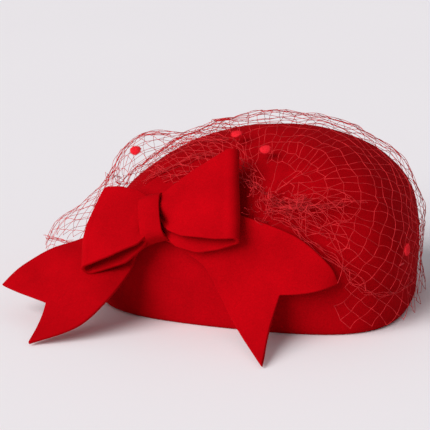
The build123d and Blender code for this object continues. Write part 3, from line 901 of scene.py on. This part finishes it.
def satin_material(name, deep, bright):
    """Satin lining: long floats of thread, soft creases with painted shade in their hollows, and a broad
    shine.
    """
    material, tree, shader = node_material(name)
    place = add_node(tree, "ShaderNodeTexCoord").outputs["Object"]
    stretch = add_node(tree, "ShaderNodeMapping", {"Vector": place, "Scale": (900.0, 900.0, 7000.0)})
    thread = add_node(tree, "ShaderNodeTexNoise", {"Vector": stretch.outputs["Vector"], "Scale": 1.0,
                                                   "Detail": 2.0})
    crease = add_node(tree, "ShaderNodeTexNoise", {"Vector": place, "Scale": 38.0, "Detail": 3.0,
                                                   "Distortion": 1.5})
    # Colour follows the creases: painted shade, darker in their hollows and lighter on their ridges.
    tree.links.new(colour_ramp(tree, crease.outputs["Fac"], deep, bright), shader.inputs["Base Color"])
    fine = bump(tree, thread.outputs["Fac"], 0.3, 0.0002)
    tree.links.new(bump(tree, crease.outputs["Fac"], 0.6, 0.0025, fine), shader.inputs["Normal"])
    shader.inputs["Roughness"].default_value = 0.36
    shader.inputs["Anisotropic"].default_value = 0.4
    return material


def wire_material(name, tone):
    """Drawn wire, with fine lines along it and dull patches."""
    material, tree, shader = node_material(name)
    place = add_node(tree, "ShaderNodeTexCoord").outputs["Object"]
    patch = add_node(tree, "ShaderNodeTexNoise", {"Vector": place, "Scale": 320.0, "Detail": 4.0})
    rough = add_node(tree, "ShaderNodeMapRange", {"Value": patch.outputs["Fac"], "To Min": 0.18,
                                                  "To Max": 0.42})
    tree.links.new(rough.outputs["Result"], shader.inputs["Roughness"])
    dull = [0.8 * c for c in tone]
    tree.links.new(colour_ramp(tree, patch.outputs["Fac"], dull, tone), shader.inputs["Base Color"])
    shader.inputs["Metallic"].default_value = 1.0
    scratch = add_node(tree, "ShaderNodeTexNoise", {"Vector": place, "Scale": 6000.0, "Detail": 1.0})
    tree.links.new(bump(tree, scratch.outputs["Fac"], 0.15, 0.00005), shader.inputs["Normal"])
    return material


def dress(material, *nodes):
    """Gives CAD pieces a material in place of their plain one."""
    for name in nodes:
        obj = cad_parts[name]
        obj.data.materials.clear()
        obj.data.materials.append(material)


def dress_trims(bow_felt):
    """Materials for the pieces inside the crown and under the bow."""
    # Petersham colours: the deep one is the painted shade between the ribs.
    petersham = ribbed_material("petersham", (0.16, 0.002, 0.006), (0.42, 0.008, 0.016), 420.0)
    dress(petersham, "sweatband", "ribbon_join_tab")
    # Satin colours: the deep one is the painted shade in the creases' hollows.
    satin = satin_material("satin", (0.20, 0.003, 0.008), (0.40, 0.010, 0.018))
    dress(satin, "lining_side", "lining_tip")
    dress(wire_material("comb_wire", (0.78, 0.74, 0.68)), "front_comb", "back_comb")
    dress(wire_material("hat_wire", (0.62, 0.62, 0.64)), "rim_wire")
    sewing = thread_material("sewing_thread", (0.32, 0.004, 0.008), (0.60, 0.02, 0.03), 0.3)
    dress(sewing, "front_comb_threads", "back_comb_threads", "veil_tacks")
    dress(bow_felt, "bow_base")


# ---------------------------------------------------------------- stage, light and camera

def make_stage():
    """A wide pale floor."""
    material, tree, shader = node_material("pale_paper")
    place = add_node(tree, "ShaderNodeTexCoord").outputs["Object"]
    tone = add_node(tree, "ShaderNodeTexNoise", {"Vector": place, "Scale": 1.2, "Detail": 2.0})
    colour = colour_ramp(tree, tone.outputs["Fac"], (0.905, 0.875, 0.905), (0.935, 0.91, 0.935))
    tree.links.new(colour, shader.inputs["Base Color"])
    shader.inputs["Roughness"].default_value = 0.8
    half = 6000
    corners = [(-half, -half, 0), (half, -half, 0), (half, half, 0), (-half, half, 0)]
    floor = mesh_object("floor", corners, [(0, 1, 2, 3)], material)


def sun_light(name, place, power, softness, colour):
    """A soft far light, shining from a place towards the middle."""
    data = bpy.data.lights.new(name, "SUN")
    data.energy = power
    data.angle = math.radians(softness)
    data.color = colour
    light = bpy.data.objects.new(name, data)
    light.rotation_euler = Vector(place).to_track_quat("Z", "Y").to_euler()
    bpy.context.scene.collection.objects.link(light)


def make_camera():
    """The camera, aimed a little up and to the left of the crown's middle."""
    azimuth, elevation = math.radians(14.6), math.radians(18.8)
    distance, lens, aim_across, aim_up = 0.95, 113.6, -0.0319, 0.0516
    back = Vector((math.sin(azimuth) * math.cos(elevation),
                   -math.cos(azimuth) * math.cos(elevation), math.sin(elevation)))
    right = Vector((math.cos(azimuth), math.sin(azimuth), 0))
    aim = right * aim_across + back.cross(right) * aim_up
    data = bpy.data.cameras.new("camera")
    data.lens, data.sensor_width, data.clip_end = lens, 36.0, 50.0
    camera = bpy.data.objects.new("camera", data)
    camera.location = back * distance
    camera.rotation_euler = (aim - camera.location).to_track_quat("-Z", "Y").to_euler()
    bpy.context.scene.collection.objects.link(camera)
    bpy.context.scene.camera = camera


def make_world():
    """Even pale light from all round."""
    world = bpy.data.worlds.new("studio")
    world.use_nodes = True
    background = world.node_tree.nodes["Background"]
    background.inputs["Color"].default_value = (0.94, 0.94, 0.965, 1)
    background.inputs["Strength"].default_value = 0.37
    bpy.context.scene.world = world
    bpy.context.scene.view_settings.view_transform = "Standard"


# ---------------------------------------------------------------- making

red_felt = felt_material("crown_felt", (0.24, 0.0002, 0.002), (0.44, 0.0004, 0.004), 0.02)
bow_felt = felt_material("bow_felt", (0.25, 0.0002, 0.002), (0.47, 0.0004, 0.004), 0.02)
net_thread = thread_material("net_thread", (0.38, 0.003, 0.006), (0.72, 0.018, 0.026), 0.25)
crown_felt = make_crown(red_felt)
make_bow(bow_felt)
make_veil(net_thread)
make_dots()
dress_trims(bow_felt)
make_stage()
sun_light("key", (-0.56, -0.85, 0.60), 3.45, 46, (1.0, 0.985, 0.98))
make_camera()
make_world()
